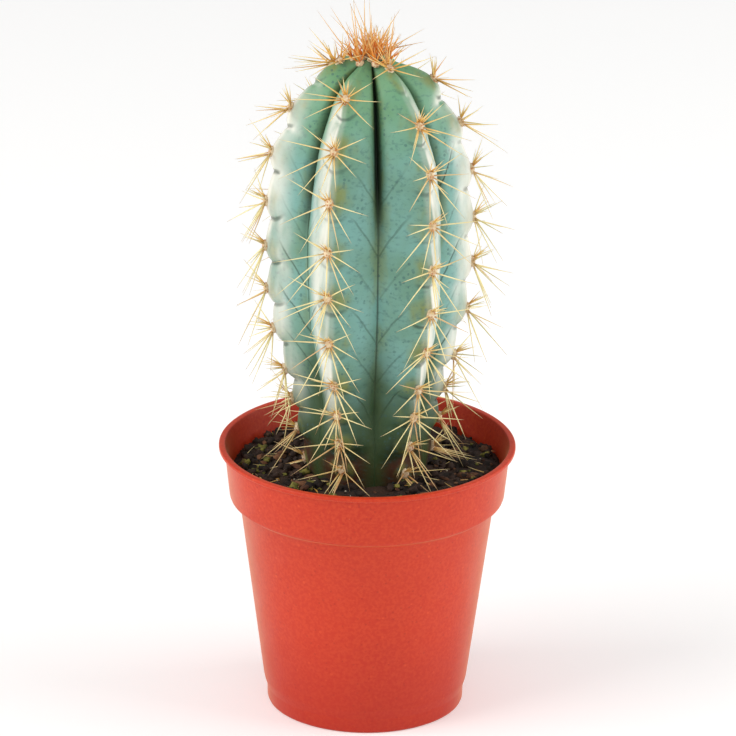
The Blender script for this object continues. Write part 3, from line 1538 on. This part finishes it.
@dataclass
class PottingMix:
    """The mix in the pot: a lumpy surface, with bark, moss, grains and fibres lying on it."""

    finishes: Finishes
    level: float
    floor: float
    radius: float
    stem_radius: float
    pot: NurseryPot
    crumbs: Sequence[Crumbs] = (
        Crumbs("bark_chips", "bark", 110, 1.4, 5.0, (1.0, 0.6, 0.34), 0.36),
        Crumbs("soil_crumbs", "mix", 620, 0.7, 3.2, (1.0, 0.82, 0.72), 0.42, Slot.MIX),
        Crumbs("moss_tufts", "moss", 80, 1.0, 3.4, (1.0, 0.85, 0.6), 0.55),
        Crumbs("pale_grains", "grain", 42, 0.45, 1.2, (1.0, 0.9, 0.8), 0.2),
    )
    seed: int = 61
    rings: int = 52
    steps: int = 300

    def surface(self, x: float, y: float) -> float:
        """The height of the mix's surface at a place."""
        here = Vector((x, y, 0.0))
        swell = 0.9 * MM * noise.noise(here * 70)
        lumps = 1.0 * MM * noise.turbulence(here * 190, 3, False)
        distance = here.length
        rim = ramp(distance, self.radius - 3.5 * MM, self.radius)
        foot = ramp(distance, self.stem_radius + 5 * MM, self.stem_radius)
        return self.level + swell + lumps - 0.4 * MM - 1.6 * MM * rim + 0.5 * MM * foot

    def build(self) -> None:
        """Builds the mix and what lies on it."""
        self._build_body()
        chance = random.Random(self.seed)
        for crumbs in self.crumbs:
            self._scatter(crumbs, chance)
        self._build_fibres(chance)

    def _build_body(self) -> None:
        """The mix's own solid: fitted to the pot's wall, with its fine surface on top."""
        gap = 0.3 * MM
        pot = self.pot
        shoulder = pot.height - pot.shoulder_depth
        wall = [
            (0.0, self.floor),
            (pot.foot - pot.wall - 1.1 * MM, self.floor),
            (pot.body_foot - pot.wall - gap, pot.body_foot_height + gap),
            (pot.body_top - pot.wall - gap, shoulder),
            (pot.collar_foot - pot.wall - gap, pot.height - pot.collar_depth + gap),
        ]
        top = []
        for index in range(self.rings + 1):
            top.append((self.radius * (1 - index / self.rings), self.level))
        shape = turned(wall + top, self.steps)
        for corner in shape.verts:
            if abs(corner.co.z - self.level) < 0.01 * MM:
                corner.co.z = self.surface(corner.co.x, corner.co.y)
        place_piece("potting_mix_bed", shape, self.finishes.mix, ["potting_mix"])

    def _spot(self, chance: random.Random) -> Vector:
        """A place on the surface between the stem and the wall."""
        azimuth = chance.uniform(0, math.tau)
        nearest, furthest = self.stem_radius + 1.0 * MM, self.radius - 1.2 * MM
        distance = math.sqrt(chance.uniform(nearest**2, furthest**2))
        x, y = distance * math.cos(azimuth), distance * math.sin(azimuth)
        return Vector((x, y, self.surface(x, y)))

    def _scatter(self, crumbs: Crumbs, chance: random.Random) -> None:
        """Scatters crumbs of one kind over the surface, with the mix's dice."""
        ball = bmesh.new()
        bmesh.ops.create_icosphere(ball, subdivisions=2, radius=0.5)
        template = template_mesh(crumbs.name + "_template", ball)
        shape = bmesh.new()
        for _ in range(crumbs.count):
            size = crumbs.shortest + (crumbs.longest - crumbs.shortest) * chance.random() ** 2
            spot = self._spot(chance) + Vector((0, 0, size * crumbs.stretch[2] * 0.2 * MM))
            tilt = Matrix.Rotation(chance.uniform(0, math.tau), 3, "Z")
            tilt = tilt @ Matrix.Rotation(chance.uniform(-0.5, 0.5), 3, "X")
            offset = Vector((chance.uniform(0, 90), chance.uniform(0, 90), 0))
            for corner in add_copy(shape, template):
                rough = 1 + crumbs.crumble * 2 * noise.noise(corner.co * 3.2 + offset)
                local = Vector(corner.co[axis] * crumbs.stretch[axis] for axis in range(3))
                corner.co = spot + tilt @ (local * (size * MM * rough))
        place_piece(crumbs.name, shape, getattr(self.finishes, crumbs.finish))

    def _build_fibres(self, chance: random.Random, count: int = 70) -> None:
        """Thin curved root fibres and straws on the surface."""
        bundle = SpineBundle(sides=4)
        for _ in range(count):
            start = self._spot(chance) + Vector((0, 0, 0.3 * MM))
            heading = chance.uniform(0, math.tau)
            way = Vector((math.cos(heading), math.sin(heading), chance.uniform(-0.02, 0.16))).normalized()
            length = chance.uniform(2.5, 7.5) * MM
            if (start + way * length).xy.length > self.radius - 0.5 * MM:
                length *= 0.4
            bend = way.cross(Vector((0, 0, 1))) * (length * chance.uniform(-0.3, 0.3))
            radius = chance.uniform(0.08, 0.2) * MM
            bundle.add(start, way, length, radius, bend, chance.random(), chance.random())
        bundle.finish("soil_fibres", self.finishes.spines, Slot.BITS, [])


# ---------------------------------------------------------------------------------------------
# Stage, light and camera
# ---------------------------------------------------------------------------------------------


@dataclass(frozen=True)
class SoftLight:
    """A square soft light: its place and side in metres, its power in watts and its colour."""

    name: str
    place: tuple[float, float, float]
    side: float
    power: float
    colour: Colour


@dataclass
class Studio:
    """A pale floor, soft light from the upper left and a long lens a little above the plant."""

    aim: Vector
    width: float = 0.2099
    elevation: float = math.radians(21.3)
    distance: float = 2.2
    roll: float = math.radians(0.55)
    sensor: float = 36.0
    floor_size: float = 6.0
    floor_colour: Colour = (0.94, 0.94, 0.94)
    lights: Sequence[SoftLight] = (
        SoftLight("key_light", (-1.15, -0.45, 0.85), 1.1, 14.0, (1.0, 0.985, 0.96)),
        SoftLight("right_light", (1.15, -0.1, 0.6), 1.1, 10.0, (1.0, 0.99, 0.97)),
        SoftLight("front_light", (0.15, -1.3, 0.7), 1.0, 1.5, (1.0, 1.0, 1.0)),
    )
    floor_glow: float = 0.16
    world_strength: float = 0.5
    sky_seen: float = 0.66

    def build(self) -> None:
        """Sets the stage."""
        self._build_floor()
        self._build_camera()
        for light in self.lights:
            self._hang(light)
        world = bpy.data.worlds.new("studio")
        bpy.context.scene.world = world
        world.use_nodes = True
        nodes = Nodes(world.node_tree)
        background = world.node_tree.nodes["Background"]
        nodes.feed(background.inputs["Color"], (1.0, 1.0, 1.0))
        seen = nodes.add("ShaderNodeLightPath").outputs["Is Camera Ray"]
        added = nodes.math("MULTIPLY", seen, self.sky_seen - self.world_strength)
        nodes.feed(background.inputs["Strength"], nodes.math("ADD", added, self.world_strength))
        bpy.context.scene.view_settings.view_transform = "Standard"

    def _build_floor(self) -> None:
        """Lays the pale floor."""
        shape = bmesh.new()
        bmesh.ops.create_grid(shape, x_segments=1, y_segments=1, size=self.floor_size / 2)
        mesh = bpy.data.meshes.new("floor")
        shape.to_mesh(mesh)
        shape.free()
        material, nodes, shader = new_material("floor")
        nodes.feed(shader.inputs["Base Color"], self.floor_colour)
        nodes.feed(shader.inputs["Roughness"], 0.9)
        nodes.feed(shader.inputs["Emission Color"], (1.0, 1.0, 1.0))
        nodes.feed(shader.inputs["Emission Strength"], self.floor_glow)
        mesh.materials.append(material)
        floor = bpy.data.objects.new("floor", mesh)
        bpy.context.collection.objects.link(floor)

    def _build_camera(self) -> None:
        """Sets up the camera at the front."""
        lens = bpy.data.cameras.new("camera")
        lens.sensor_width = self.sensor
        lens.lens = self.sensor * self.distance / self.width
        lens.clip_start = 0.05
        lens.clip_end = 50.0
        camera = bpy.data.objects.new("camera", lens)
        back = Vector((0, -math.cos(self.elevation), math.sin(self.elevation)))
        camera.location = self.aim + back * self.distance
        turn = (-back).to_track_quat("-Z", "Y").to_matrix().to_4x4()
        camera.rotation_euler = (turn @ Matrix.Rotation(self.roll, 4, "Z")).to_euler()
        bpy.context.collection.objects.link(camera)
        bpy.context.scene.camera = camera

    def _hang(self, light: SoftLight) -> None:
        """Hangs one soft light that faces the plant."""
        data = bpy.data.lights.new(light.name, "AREA")
        data.size = light.side
        data.energy = light.power
        data.color = light.colour
        lamp = bpy.data.objects.new(light.name, data)
        lamp.location = light.place
        lamp.rotation_euler = (self.aim - Vector(light.place)).to_track_quat("-Z", "Y").to_euler()
        bpy.context.collection.objects.link(lamp)


def clear_startup_objects() -> None:
    """Removes whatever the scene opens with."""
    for existing in list(bpy.data.objects):
        bpy.data.objects.remove(existing, do_unlink=True)


def main() -> None:
    """Builds the potted cactus around the frame, piece by piece."""
    logging.basicConfig(level=logging.INFO, format="%(message)s")
    clear_startup_objects()
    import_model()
    _, pot_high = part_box("pot")
    _, stem_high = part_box("cactus_stem")
    mix_low, mix_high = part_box("potting_mix")
    _, crown_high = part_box("crown_spines")

    finishes = Finishes.build()
    pot = NurseryPot(finishes.pot, lip_radius=pot_high[0], height=pot_high[2])
    pot.build()
    soil = mix_high[2] - 0.9 * MM
    crest = CrestLine(widest=stem_high[0] - 0.53 * MM, soil=soil, apex=stem_high[2])
    stem = CactusStem(crest, finishes.skin)
    stem.build()
    felt = Felt(finishes.felt)
    SpineCoat(crest, stem, finishes.spines, felt, soil).build()
    Crown(crest, finishes.crown, felt, top=crown_high[2]).build()
    felt.finish()
    PottingMix(finishes, soil, mix_low[2], mix_high[0] - 0.1 * MM, 0.6 * crest.widest, pot).build()
    Studio(aim=Vector((0, 0, AIM_HEIGHT))).build()


if __name__ == "__main__":
    main()
